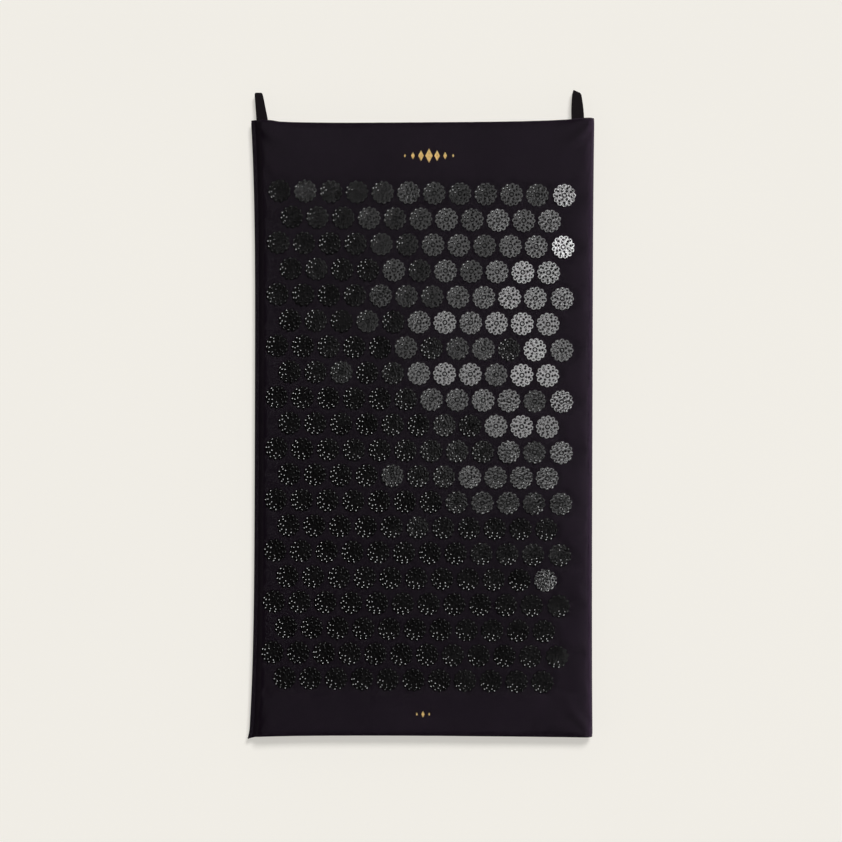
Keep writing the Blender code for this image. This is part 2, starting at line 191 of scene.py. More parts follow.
def plan(s, t):
    """Where the cover's grid lines meet, seen from above, for shares s across and t along."""
    foot = edge_curve(FOOT_LEFT, FOOT_RIGHT, FOOT_DRAW, s, power=2, skew=FOOT_SKEW)
    right = edge_curve(FOOT_RIGHT, HEAD_RIGHT, RIGHT_DRAW, t)
    head = edge_curve(HEAD_RIGHT, HEAD_LEFT, HEAD_DRAW, 1 - s, holds=(LOOP_HOLD_RIGHT, LOOP_HOLD_LEFT))
    left = edge_curve(HEAD_LEFT, FOOT_LEFT, LEFT_DRAW, 1 - t)
    s, t = s[:, None, None], t[None, :, None]
    corners = ((1 - s) * (1 - t) * np.array(FOOT_LEFT) + s * (1 - t) * np.array(FOOT_RIGHT)
               + (1 - s) * t * np.array(HEAD_LEFT) + s * t * np.array(HEAD_RIGHT))
    sides = ((1 - t) * foot[:, None] + t * head[:, None]
             + (1 - s) * left[None, :] + s * right[None, :])
    flat = sides - corners
    for corner in (FOOT_RIGHT, HEAD_LEFT, HEAD_RIGHT):
        flat = shifted(flat, corner, -CORNER_ROUNDING, CORNER_ROUNDING_LENGTH)
    return shifted(flat, FOOT_LEFT, EAR, EAR_LENGTH)


def shifted(flat, corner, amount, length):
    """The plan with one corner moved out along its diagonal, less and less over a length."""
    outward = np.sign(corner)
    distance = np.linalg.norm(flat - np.array(corner), axis=-1, keepdims=True)
    return flat + outward * amount * np.exp(-((distance / length) ** 2))


def grid_shares(length, start_roll, end_roll):
    """Shares of a length, close together over both rolled edges. The first and last are the tuck."""
    def edge(roll):
        turn = np.linspace(0, math.pi / 2, ROLL_RINGS + 1)[1:]
        power = LEFT_ROLL_POWER if roll == LEFT_ROLL else 1
        return np.concatenate([[SEAM_TUCK, 0.0], roll * (1 - np.cos(turn)) ** power])

    start, end = edge(start_roll), edge(end_roll)
    count = max(2, round((length - start[-1] - end[-1]) / CLOTH_STEP))
    middle = np.linspace(start[-1], length - end[-1], count + 1)[1:-1]
    return np.concatenate([start, middle, length - end[::-1]]) / length


def roll_share(distance, roll):
    """The height share of a rolled edge at a distance from its seam."""
    inside = np.clip(distance / roll, 0, 1)
    return np.sqrt(np.maximum(1 - (1 - inside) ** 2, 0))


def cover_grid():
    """The grid's places in plan, the rise of the rolled edges there, and which points are the seam's tuck."""
    width, length = 2 * HALF_WIDTH, 2 * HALF_LENGTH
    s = grid_shares(width, LEFT_ROLL, RIGHT_ROLL)
    t = grid_shares(length, FOOT_ROLL, HEAD_ROLL)
    xy = plan(s, t)
    xy[..., 1] += MIDDLE_Y
    left = smooth((s * width - LEFT_FLANGE) / (LEFT_ROLL - LEFT_FLANGE))
    across = left * roll_share((1 - s) * width, RIGHT_ROLL)
    along = roll_share(t * length, FOOT_ROLL) * roll_share((1 - t) * length, HEAD_ROLL)
    rise = across[:, None] * along[None, :]
    return xy, rise, on_rim(rise.shape)


def on_rim(shape):
    """Which points of a grid lie on its rim."""
    rim = np.zeros(shape, bool)
    rim[[0, -1], :] = True
    rim[:, [0, -1]] = True
    return rim


def crown(x, y):
    """How far the foam bulges the cover above its rolled edges."""
    along = (y - MIDDLE_Y) / HALF_LENGTH
    return CROWN_RISE * (1 - (x / HALF_WIDTH) ** 2) * (1 - along ** 2)


def corner_folds(x, y):
    """Shallow folds that run from each corner, where the seams gather the cloth."""
    height = np.zeros(x.shape)
    for corner in (FOOT_LEFT, FOOT_RIGHT, HEAD_LEFT, HEAD_RIGHT):
        away_x, away_y = np.abs(x - corner[0]), np.abs(y - MIDDLE_Y - corner[1])
        distance = np.hypot(away_x, away_y)
        turn = np.arctan2(away_y, away_x + FOLD_TURN_OFFSET)
        fade = np.exp(-((distance / FOLD_REACH) ** 2)) * (1 - np.exp(-((distance / FOLD_START) ** 2)))
        phase = FOLD_WAVES * turn + FOLD_PHASE[0] * corner[0] + FOLD_PHASE[1] * corner[1]
        height += FOLD_HEIGHT * fade * np.sin(phase)
    return height


# Disc places
def node_middle(name):
    low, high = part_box(name)
    return np.array(((low.x + high.x) / 2, (low.y + high.y) / 2))


FIRST = node_middle("spike_disc_r01_c01")
COLUMN_STEP = (node_middle("spike_disc_r01_c12") - FIRST) / (LONG_ROW - 1)
TWO_ROWS = node_middle("spike_disc_r03_c01") - FIRST


def disc_places():
    """Row, column and middle of each of the discs: the pitch of those in the frame, drawn as the cover is."""
    across = COLUMN_STEP / np.linalg.norm(COLUMN_STEP)
    down = TWO_ROWS / np.linalg.norm(TWO_ROWS)
    places = []
    for row in range(ROWS):
        start = FIRST + TWO_ROWS * row / 2 + COLUMN_STEP * (row % 2) / 2
        start = start + across * SWAY * math.cos(math.tau * (row - SWAY_START) / ROWS)
        start = start + down * BULGE * (1 - (2 * row / (ROWS - 1) - 1) ** 2)
        for column in range(LONG_ROW - row % 2):
            last = across * LAST_SHIFT if column == LONG_ROW - 1 else 0
            places.append((row, column, start + COLUMN_STEP * column + last))
    return places


PLACES = disc_places()
MIDDLES = np.array([middle for _, _, middle in PLACES])


def from_discs(x, y):
    """The distance of each point to the nearest disc's rim."""
    nearest = np.full(x.shape, 1.0)
    for middle in MIDDLES:
        nearest = np.minimum(nearest, np.hypot(x - middle[0], y - middle[1]))
    return np.maximum(nearest - DISC_RADIUS, 0)


def soft_noise(x, y, scale, seed):
    """Smooth noise over the plane, about -1 to 1, with features as wide as scale."""
    sample = noise.noise
    flat = [sample((px / scale + seed, py / scale, seed)) for px, py in zip(x.ravel(), y.ravel())]
    return np.array(flat).reshape(x.shape)


def mesh_object(name, points, faces, smooth_angle=35):
    mesh = bpy.data.meshes.new(name)
    mesh.from_pydata([tuple(p) for p in points], [], faces)
    mesh.update()
    mesh.shade_smooth()
    mesh.set_sharp_from_angle(angle=math.radians(smooth_angle))
    obj = bpy.data.objects.new(name, mesh)
    bpy.context.scene.collection.objects.link(obj)
    return obj


def grid_faces(columns, rows, flip=False):
    faces = []
    for i in range(columns - 1):
        for j in range(rows - 1):
            a, b = i * rows + j, (i + 1) * rows + j
            faces.append((a, a + 1, b + 1, b) if flip else (a, b, b + 1, a + 1))
    return faces


# Materials. The gold print is a plain row of lozenges at the head and a smaller one at the foot. Each has its
# middle, its number of lozenges on either side of the tallest, their pitch, the tallest one's height, and
# their width as a share of height.
HEAD_PRINT = ((0.0094, 0.3098), 3, 0.0096, 0.0170, 0.52)
FOOT_PRINT = ((0.0022, -0.3576), 1, 0.0074, 0.0078, 0.52)
GOLD_DARK, GOLD_LIGHT = (0.50, 0.32, 0.10), (0.74, 0.50, 0.19)
SHEEN_TINT = (0.80, 0.74, 0.86)
ROUGH_SPREAD = 0.06


class Nodes:
    """The node tree of one material, with short ways to add nodes to it."""

    def __init__(self, name):
        self.material = bpy.data.materials.new(name)
        self.material.use_nodes = True
        self.tree = self.material.node_tree
        self.shader = self.tree.nodes["Principled BSDF"]
        self.place = self.add("ShaderNodeTexCoord").outputs["Object"]

    def add(self, kind, links=None, **values):
        """A node with its properties or inputs set, and its inputs linked."""
        node = self.tree.nodes.new(kind)
        for name, value in values.items():
            setattr(node, name, value)
        for name, source in (links or {}).items():
            self.put(node.inputs[name], source)
        return node

    def put(self, socket, source):
        """Links a socket to another one, or sets it to a value."""
        if isinstance(source, bpy.types.NodeSocket):
            self.tree.links.new(source, socket)
        else:
            socket.default_value = source

    def math(self, operation, a, b=0.0):
        return self.add("ShaderNodeMath", {0: a, 1: b}, operation=operation).outputs[0]

    def noise(self, scale, detail, rough=0.5):
        links = {"Vector": self.place, "Scale": scale, "Detail": detail, "Roughness": rough}
        return self.add("ShaderNodeTexNoise", links).outputs["Fac"]

    def ramp(self, value, low, dark, high, light):
        node = self.add("ShaderNodeValToRGB", {"Fac": value})
        for element, position, colour in zip(node.color_ramp.elements, (low, high), (dark, light)):
            element.position = position
            element.color = (*colour, 1)
        return node.outputs["Color"]

    def between(self, value, low, high):
        links = {"Value": value, "To Min": low, "To Max": high}
        return self.add("ShaderNodeMapRange", links).outputs["Result"]

    def bump(self, height, strength, distance, under=None):
        """A bump of this height, over the one under it."""
        links = {"Height": height, "Strength": strength, "Distance": distance}
        if under is not None:
            links["Normal"] = under
        return self.add("ShaderNodeBump", links).outputs["Normal"]

    def finish(self, **sockets):
        """The material, with these sockets of its shader set."""
        for name, source in sockets.items():
            self.put(self.shader.inputs[name.replace("_", " ")], source)
        return self.material


def lozenges(cloth, middle, count, pitch, height, shape):
    """Where a printed row of lozenges lies: the middle one is the tallest, and each next one is lower."""
    split = cloth.add("ShaderNodeSeparateXYZ", {"Vector": cloth.place})
    away_x = cloth.math("ABSOLUTE", cloth.math("SUBTRACT", split.outputs["X"], middle[0]))
    away_y = cloth.math("ABSOLUTE", cloth.math("SUBTRACT", split.outputs["Y"], middle[1]))
    from_nearest = cloth.math("PINGPONG", away_x, pitch / 2)
    number = cloth.math("ROUND", cloth.math("DIVIDE", away_x, pitch))
    step = height / 2 / (count + 1)
    reach = cloth.math("SUBTRACT", height / 2, cloth.math("MULTIPLY", number, step))
    away = cloth.math("ADD", cloth.math("DIVIDE", from_nearest, shape), away_y)
    return cloth.math("LESS_THAN", away, reach)


def cloth_material(name, dark, light, thread, roughness, specular, sheen, printed=False):
    """Woven cotton: crossing threads as bump, cloudy colour with slubs, a soft sheen and light rumples."""
    cloth = Nodes(name)

    def threads(direction):
        links = {"Vector": cloth.place, "Scale": thread, "Distortion": 1.2, "Detail": 1.0,
                 "Detail Scale": 3.0}
        return cloth.add("ShaderNodeTexWave", links, wave_type="BANDS", bands_direction=direction,
                         wave_profile="SIN").outputs["Fac"]

    clouds = cloth.noise(scale=9.0, detail=5.0, rough=0.6)
    slubs = cloth.noise(scale=420.0, detail=2.0)
    mixed = cloth.math("ADD", cloth.math("MULTIPLY", clouds, 0.65), cloth.math("MULTIPLY", slubs, 0.35))
    colour = cloth.ramp(mixed, 0.30, dark, 0.72, light)
    crossing = cloth.math("MULTIPLY", threads("X"), threads("DIAGONAL"))
    weave = cloth.bump(crossing, strength=0.35, distance=0.0002)
    creases = cloth.noise(scale=38.0, detail=3.0, rough=0.55)
    rumple = cloth.bump(creases, strength=0.4, distance=0.0006, under=weave)
    rough = cloth.between(clouds, roughness - ROUGH_SPREAD, roughness + ROUGH_SPREAD)
    if printed:
        ink = cloth.math("ADD", lozenges(cloth, *HEAD_PRINT), lozenges(cloth, *FOOT_PRINT))
        gold = cloth.ramp(slubs, 0.25, GOLD_DARK, 0.60, GOLD_LIGHT)
        colour = cloth.add("ShaderNodeMix", {0: ink, 6: colour, 7: gold}, data_type="RGBA").outputs[2]
    return cloth.finish(Base_Color=colour, Normal=rumple, Roughness=rough, Specular_IOR_Level=specular,
                        Sheen_Weight=sheen, Sheen_Roughness=0.45, Sheen_Tint=(*SHEEN_TINT, 1))


def plastic_material():
    """Moulded black ABS: near black, with flow marks in its colour and gloss, ripples and a fine grain."""
    plastic = Nodes("black_abs")
    flow = plastic.noise(scale=60.0, detail=4.0)
    colour = plastic.ramp(flow, 0.3, (0.0048, 0.0044, 0.0046), 0.7, (0.0078, 0.0072, 0.0076))
    ripple = plastic.bump(plastic.noise(scale=430.0, detail=1.5), strength=1.0, distance=0.00008)
    specks = plastic.noise(scale=2600.0, detail=1.0)
    grain = plastic.bump(specks, strength=0.10, distance=0.00003, under=ripple)
    return plastic.finish(Base_Color=colour, Normal=grain, Roughness=plastic.between(flow, 0.06, 0.13),
                          Specular_IOR_Level=0.5)


def foam_material():
    """Pale open-cell foam."""
    foam = Nodes("open_cell_foam")
    cells = foam.add("ShaderNodeTexVoronoi", {"Vector": foam.place, "Scale": 700.0}).outputs["Distance"]
    colour = foam.ramp(cells, 0.0, (0.45, 0.42, 0.34), 1.0, (0.80, 0.77, 0.69))
    pores = foam.bump(cells, strength=0.6, distance=0.0005)
    return foam.finish(Base_Color=colour, Normal=pores, Roughness=0.95)


# Cover
def solidify(obj):
    """Gives a cover panel the thickness of its cloth, inwards."""
    modifier = obj.modifiers.new("cloth", "SOLIDIFY")
    modifier.thickness = CLOTH_THICKNESS
    modifier.offset = -1
    modifier.use_even_offset = False


def settled(points, faces, held):
    """Where the cloth's points come to rest under the foam's push. Those held are sewn or under a disc."""
    trial = mesh_object("cloth_trial", points, faces)
    group = trial.vertex_groups.new(name="held")
    group.add(np.flatnonzero(held).tolist(), 1.0, "REPLACE")
    modifier = trial.modifiers.new("settle", "CLOTH")
    cloth = modifier.settings
    cloth.quality = 4
    cloth.mass = 0.15
    cloth.tension_stiffness = cloth.compression_stiffness = 12
    cloth.shear_stiffness = 4
    cloth.bending_stiffness = 0.15
    cloth.use_pressure = True
    cloth.uniform_pressure_force = SIM_PRESSURE
    cloth.shrink_min = -SIM_SLACK
    cloth.vertex_group_mass = "held"
    cloth.effector_weights.gravity = 0
    modifier.collision_settings.use_collision = False
    for step in range(1, SIM_FRAMES + 1):
        bpy.context.scene.frame_set(step)
    moved = np.empty(3 * len(points))
    trial.evaluated_get(bpy.context.evaluated_depsgraph_get()).data.vertices.foreach_get("co", moved)
    bpy.context.scene.frame_set(1)
    bpy.data.objects.remove(trial)
    change = moved.reshape(-1, 3) - points
    return points + SIM_CAP * np.tanh(change / SIM_CAP)


def cover_front(look):
    """The padded front: crowned, rolled to the seam, puffed between the discs, gathered at its corners."""
    xy, rise, tuck = cover_grid()
    x, y = xy[..., 0], xy[..., 1]
    clear = from_discs(x, y)
    puff = PUFF * (1 - np.exp(-((clear / PUFF_REACH) ** 2)))
    free = 1 - np.exp(-((clear / FREE_REACH) ** 2))
    swells = sum(height * soft_noise(x, y * stretch, width, seed) for height, width, stretch, seed in SWELLS)
    relief = (swells + corner_folds(x, y)) * (HELD_RELIEF + (1 - HELD_RELIEF) * free)
    top = ROLL_TOP + crown(x, y) + puff * PUFF_SHARE + relief
    pucker = soft_noise(x, y, PUCKER_WIDTH, PUCKER_SEED) * PUCKER * (1 - rise) * rise * 4
    lip = SEAM_Z + SEAM_LIP
    z = lip + (top - lip) * rise + pucker
    z[tuck] = SEAM_Z + SEAM_HALF_GAP
    points = np.stack([x, y, z], axis=-1).reshape(-1, 3)
    faces = grid_faces(*rise.shape)
    held = (clear <= 0) | (rise < SIM_HELD_RISE)
    points = settled(points, faces, held)
    obj = mesh_object("cover_front", points, faces)
    obj.data.materials.append(look)
    solidify(obj)
    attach(obj, "mat")
    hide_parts("front_panel")
    return obj


def cover_back(look):
    """The flat back, rolled up to meet the front at the seam."""
    xy, rise, tuck = cover_grid()
    x, y = xy[..., 0], xy[..., 1]
    lip = SEAM_Z - SEAM_LIP
    waves = BACK_WAVE * (1 + soft_noise(x, y, BACK_WAVE_WIDTH, BACK_WAVE_SEED))
    z = lip + (FLOOR_GAP + waves - lip) * rise
    z[tuck] = SEAM_Z - SEAM_HALF_GAP
    points = np.stack([x, y, z], axis=-1).reshape(-1, 3)
    obj = mesh_object("cover_back", points, grid_faces(*rise.shape, flip=True))
    obj.data.materials.append(look)
    solidify(obj)
    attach(obj, "mat")
    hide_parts("back_panel")


def foam_core(look):
    """The foam slab inside, a little smaller than the cover. Its two faces share the rim's points."""
    xy, rise, _ = cover_grid()
    kept = np.ix_(*(sorted(set(range(1, size - 1, FOAM_STEP)) | {size - 2}) for size in rise.shape))
    x = xy[kept][..., 0] * (1 - FOAM_INSET / HALF_WIDTH)
    y = (xy[kept][..., 1] - MIDDLE_Y) * (1 - FOAM_INSET / HALF_LENGTH) + MIDDLE_Y
    share = rise[kept]
    upper = SEAM_Z + (ROLL_TOP + crown(x, y) - FOAM_INSET - SEAM_Z) * share
    lower = SEAM_Z + (FOAM_INSET - SEAM_Z) * share
    top = np.stack([x, y, upper], axis=-1).reshape(-1, 3)
    bottom = np.stack([x, y, lower], axis=-1).reshape(-1, 3)
    rim = on_rim(share.shape).ravel()
    number = np.arange(share.size)
    number[~rim] = share.size + np.arange((~rim).sum())
    faces = grid_faces(*share.shape)
    faces += [tuple(int(number[v]) for v in face) for face in grid_faces(*share.shape, flip=True)]
    obj = mesh_object("foam_core", np.concatenate([top, bottom[~rim]]), faces)
    obj.data.materials.append(look)
    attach(obj, "mat")
    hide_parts("foam_insert")


# Discs
class Shells:
    """Points and faces of several closed shells in one mesh."""

    def __init__(self):
        self.points = []
        self.faces = []

    def rings(self, rings):
        """Joins rings of as many points, from the lowest outside to the top, and closes both ends."""
        count = len(rings[0])
        first = len(self.points)
        for ring in rings:
            self.points.extend(ring)
        for level in range(len(rings) - 1):
            for k in range(count):
                a, b = first + level * count + k, first + level * count + (k + 1) % count
                self.faces.append((a, b, b + count, a + count))
        last = first + (len(rings) - 1) * count
        self.faces.append(tuple(first + k for k in reversed(range(count))))
        self.faces.append(tuple(last + k for k in range(count)))


def petal_outline():
    """Angles and radii of a rim of round petals, with even steps along each and notches between them."""
    reach = DISC_RADIUS - PETAL_RADIUS
    half = math.pi / PETALS
    notch = reach * math.cos(half) + math.sqrt(PETAL_RADIUS ** 2 - (reach * math.sin(half)) ** 2)
    end = math.atan2(notch * math.sin(half), notch * math.cos(half) - reach)
    outline = []
    for petal in range(PETALS):
        for step in range(PETAL_STEPS):
            turn = end * (2 * step / PETAL_STEPS - 1)
            x, y = reach + PETAL_RADIUS * math.cos(turn), PETAL_RADIUS * math.sin(turn)
            outline.append((2 * half * petal + math.atan2(y, x), math.hypot(x, y)))
    return np.array(outline).T


def spikes():
    """Angle, distance from the middle and width scale of each spike."""
    half = math.pi / PETALS
    return [(turn * half + math.tau * k / count, radius, scale)
            for count, radius, turn, scale in SPIKE_RINGS for k in range(count)]


def disc_shells():
    """One disc about its middle, resting on z = 0: the dished plate, its groove and boss, and the spikes."""
    shells = Shells()
    angles, rim = petal_outline()

    def dished(radius, z):
        return z + DISH * (radius / DISC_RADIUS) ** 2

    def ring(radii, z):
        radii = radii + 0 * rim
        return [(r * math.cos(a), r * math.sin(a), dished(r, z)) for a, r in zip(angles, radii)]

    top = PLATE_THICKNESS
    shells.rings([
        ring(rim - PLATE_EDGE, 0.0),
        ring(rim, PLATE_EDGE_DROP),
        ring(rim, top - PLATE_EDGE_DROP),
        ring(rim - PLATE_EDGE, top),
        *(ring(radius, top) for radius in PLATE_RINGS),
        ring(GROOVE_OUTER, top),
        ring(GROOVE_BOTTOM, top - GROOVE_DEPTH),
        ring(GROOVE_INNER, top - BOSS_SIDE_DROP),
        ring(GROOVE_INNER - BOSS_EDGE, top - BOSS_TOP_DROP),
        ring(BOSS_MIDDLE, top - BOSS_TOP_DROP),
    ])
    corners = math.tau * np.arange(SPIKE_SIDES) / SPIKE_SIDES
    flats = [Vector((math.cos(corner), math.sin(corner), 0)) for corner in corners]
    for angle, radius, scale in spikes():
        out = Vector((math.cos(angle), math.sin(angle), 0))
        foot = out * radius + Vector((0, 0, dished(radius, top - SPIKE_SINK)))
        leaning = SPIKE_LEAN * radius / DISC_RADIUS
        lean = Matrix.Rotation(leaning, 3, Vector((-out.y, out.x, 0)))
        rings = [[tuple(foot + lean @ (flat * size * scale + Vector((0, 0, height)))) for flat in flats]
                 for size, height in SPIKE_PROFILE]
        tip = []
        for flat in flats:
            cut = SPIKE_TIP * flat.dot(out) * math.tan(TIP_CUT + leaning)
            height = SPIKE_HEIGHT + SPIKE_SINK + cut
            tip.append(tuple(foot + lean @ (flat * SPIKE_TIP + Vector((0, 0, height)))))
        shells.rings(rings + [tip])
    return np.array(shells.points), shells.faces


def spread_seed(index, salt):
    """A fixed number from -1 to 1 for each disc."""
    value = math.sin(index * HASH_INDEX + salt * HASH_SALT) * HASH_SCALE
    return 2 * (value - math.floor(value)) - 1


def seat(middle, index):
    """Where a disc lies: on the crowned cloth, spun and tipped a little as the foam lets it."""
    x, y = middle
    step = DISC_RADIUS
    slope_x = (crown(x + step, y) - crown(x - step, y)) / (2 * step)
    slope_y = (crown(x, y + step) - crown(x, y - step)) / (2 * step)
    askew = math.radians(ASKEW.get(PLACES[index][:2], 0))
    tip_x = DISC_TIP_SPREAD * (spread_seed(index, 1) + spread_seed(index, 4)) / 2 + GLARE_X * askew
    tip_y = DISC_TIP_SPREAD * (spread_seed(index, 2) + spread_seed(index, 5)) / 2 + GLARE_Y * askew
    normal = Vector((tip_x - slope_x, tip_y - slope_y, 1)).normalized()
    turn = normal.to_track_quat("Z", "Y").to_matrix().to_4x4()
    spin = Matrix.Rotation(math.pi * spread_seed(index, 3), 4, "Z")
    height = ROLL_TOP + crown(x, y) + DISC_GAP
    return Matrix.Translation((x, y, height)) @ turn @ spin


def disc_rows(look):
    """One piece for each row of discs, which stands for those of its discs that are nodes in the frame."""
    points, faces = disc_shells()
    for row in range(ROWS):
        all_points, all_faces, names = [], [], []
        for index, (disc_row, column, middle) in enumerate(PLACES):
            if disc_row != row:
                continue
            matrix = np.array(seat(middle, index))
            first = len(all_points) * len(points)
            all_points.append(points @ matrix[:3, :3].T + matrix[:3, 3])
            all_faces.extend([tuple(v + first for v in face) for face in faces])
            names.append(f"spike_disc_r{row + 1:02d}_c{column + 1:02d}")
        obj = mesh_object(f"spike_discs_row_{row + 1:02d}", np.concatenate(all_points), all_faces, 30)
        obj.data.materials.append(look)
        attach(obj, "mat")
        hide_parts(*[name for name in names if name in frame["nodes"]])


# Hanging loops: a folded tape that tapers and leans a little, with thicker woven edges. The edges start and
# end at shares of the half width, and stand proud of the face by a share of its thickness.
TAPE_THICKNESS = 0.0011
TAPE_RUN_STEPS, TAPE_FOLD_STEPS, TAPE_ACROSS_STEPS = 13, 21, 13
TAPE_FACE, TAPE_CORNER_POWER = 0.9, 10
TAPE_EDGE_RISE, TAPE_EDGE_START, TAPE_EDGE_LENGTH = 0.25, 0.6, 0.3
TAPE_ROOT_WIDTH = {"left": 0.0138, "right": 0.0152}
TAPE_FOLD_WIDTH = {"left": 0.0094, "right": 0.0092}
TAPE_TAPER_POWER = {"left": 1.0, "right": 1.8}
TAPE_FOLD_ROUNDING = 0.0034
TAPE_FOLD_SKEW = {"left": 0.0, "right": 0.0016}
LOOP_FOLD_DISTANCE = {"left": 0.0284, "right": 0.0276}
LOOP_FOLD_RADIUS = 0.0048
LOOP_ROOT = -0.0020
TOUCH_GAP = 0.0003
LOOP_LEAN = {"left": math.radians(8.0), "right": math.radians(1.5)}


def loop_line(fold):
    """The middle of the tape's thickness, from the seam out round the fold and back, as (y, z) points."""
    radius = LOOP_FOLD_RADIUS - TAPE_THICKNESS / 2
    root = TAPE_THICKNESS / 2
    taper = math.asin((radius - root) / fold)
    upper = []
    for share in np.linspace(0, 1, TAPE_RUN_STEPS + 1)[:-1]:
        y = LOOP_ROOT + (fold + radius * math.sin(-taper) - LOOP_ROOT) * share
        upper.append((y, root + (radius * math.cos(taper) - root) * max(0, y) / fold))
    arc = [(fold + radius * math.cos(angle), radius * math.sin(angle))
           for angle in np.linspace(math.pi / 2 + taper, -math.pi / 2 - taper, TAPE_FOLD_STEPS)]
    return upper + arc + [(y, -z) for y, z in reversed(upper)]


def tape_half(share):
    """Half the tape's thickness at a share of its half width: thicker near the edges, round at them."""
    woven = 1 + TAPE_EDGE_RISE * smooth((abs(share) - TAPE_EDGE_START) / TAPE_EDGE_LENGTH)
    edge = math.sqrt(max(0.0, 1 - abs(share) ** TAPE_CORNER_POWER)) * woven
    return TAPE_THICKNESS / 2 * edge


def hanging_loop(side, look):
    """A folded tape, sewn into the head seam and drooping to the floor."""
    fold = LOOP_FOLD_DISTANCE[side]
    line = np.array(loop_line(fold))
    along = np.gradient(line, axis=0)
    along /= np.linalg.norm(along, axis=1)[:, None]
    normal = np.stack([-along[:, 1], along[:, 0]], axis=1)
    shares = np.linspace(-1, 1, TAPE_ACROSS_STEPS)
    rings = []
    for (y, z), (ny, nz) in zip(line, normal):
        taper = max(0, y) / (fold + LOOP_FOLD_RADIUS)
        past = max(0, y - fold) / LOOP_FOLD_RADIUS
        narrowing = (TAPE_ROOT_WIDTH[side] - TAPE_FOLD_WIDTH[side]) * taper ** TAPE_TAPER_POWER[side]
        width = TAPE_ROOT_WIDTH[side] - narrowing - TAPE_FOLD_ROUNDING * past ** 3
        skew = TAPE_FOLD_SKEW[side] * max(0, y) / fold
        shift = -y * math.tan(LOOP_LEAN[side])
        ring = []
        for sign in (1, -1):
            for share in shares[::sign]:
                half = tape_half(share) * sign * TAPE_FACE
                ring.append((shift + share * width / 2, y + ny * half - skew * share, z + nz * half))
        rings.append(ring)
    shells = Shells()
    shells.rings([ring[::-1] for ring in rings])
    obj = mesh_object(f"loop_tape_{side}", shells.points, shells.faces, 50)
    hinge = HINGES[f"loop_{side}"]
    droop = math.asin((SEAM_Z - LOOP_FOLD_RADIUS - TOUCH_GAP) / fold)
    obj.data.transform(Matrix.Translation(hinge) @ Matrix.Rotation(-droop, 4, "X"))
    obj.data.materials.append(look)
    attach(obj, f"loop_{side}")
    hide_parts(f"hanging_loop_{side}")


# Studio. The sky is a colour for below and one for above, each at its share of the height.
SKY_LOW, SKY_HIGH = (0.30, (0.60, 0.585, 0.55, 1)), (0.75, (0.02, 0.02, 0.02, 1))
SKY_STRENGTH = 0.5
KEY_TOWARDS, KEY_HEIGHT, KEY_STRENGTH, KEY_SPREAD = (0.40, 0.92), math.radians(49), 2.1, math.radians(20)
FLOOR_REACH = 30.0
FLOOR_DARK, FLOOR_LIGHT = (0.577, 0.560, 0.524), (0.585, 0.568, 0.531)
FLOOR_GLOW = (0.521, 0.507, 0.473, 1)
VIEW_WIDTH, VIEW_X, VIEW_Y = 1.0104, -0.0002, -0.0072
LENS, SENSOR = 85, 36

# The softboxes' glare on the plates: strips that grow brighter to the upper right, in two spans, each with its
# name, its ends and its share of the light. A ring of far boxes lights the cut tips of the spikes, and a low
# box lights the cover's right edge.
PANEL_HEIGHT = 2.9
PANEL_TURN = math.atan2(GLARE_Y, GLARE_X)
PANEL_START, PANEL_STEP, PANELS, PANEL_LAST = 0.03, 0.08, 8, 0.50
PANEL_RISE, PANEL_FIRST = 26.0, 0.8
PANEL_SPANS = (("main", -0.24, 0.14, 0.82), ("wide", -0.34, 0.50, 0.18))
LOW_BOX_PLACE, LOW_BOX_SIZE, LOW_BOX_RADIANCE = (1.5, 0.0, 0.12), (2.4, 0.2), 70.0
FAR_BOX_TURNS = [math.radians(turn) for turn in (-60, -25, 10, 45, 80, 115)]
FAR_BOX_CENTRE = (-0.12, -0.18)
FAR_BOX_REACH, FAR_BOX_SIZE, FAR_BOX_RADIANCE = 1.56, (0.90, 0.94), 25.0


def panel_light(name, x, y, size, radiance, turn=0.0):
    """A softbox high over the mat, facing down, that shows only in gloss and sheen."""
    data = bpy.data.lights.new(name, "AREA")
    data.shape = "RECTANGLE"
    data.size, data.size_y = size
    data.energy = radiance * size[0] * size[1] * math.pi
    obj = bpy.data.objects.new(name, data)
    bpy.context.scene.collection.objects.link(obj)
    obj.location = (x, y, PANEL_HEIGHT)
    obj.rotation_euler = (0, 0, turn)
    obj.visible_diffuse = False
    return obj


def sky():
    """A pale sky that darkens upwards and doesn't show in gloss."""
    world = bpy.data.worlds.new("studio")
    bpy.context.scene.world = world
    world.use_nodes = True
    nodes, links = world.node_tree.nodes, world.node_tree.links
    back = nodes["Background"]
    split = nodes.new("ShaderNodeSeparateXYZ")
    ramp = nodes.new("ShaderNodeValToRGB")
    low, high = ramp.color_ramp.elements
    low.position, low.color = SKY_LOW
    high.position, high.color = SKY_HIGH
    links.new(nodes.new("ShaderNodeTexCoord").outputs["Generated"], split.inputs["Vector"])
    links.new(split.outputs["Z"], ramp.inputs["Fac"])
    links.new(ramp.outputs["Color"], back.inputs["Color"])
    back.inputs["Strength"].default_value = SKY_STRENGTH
    world.cycles_visibility.glossy = False


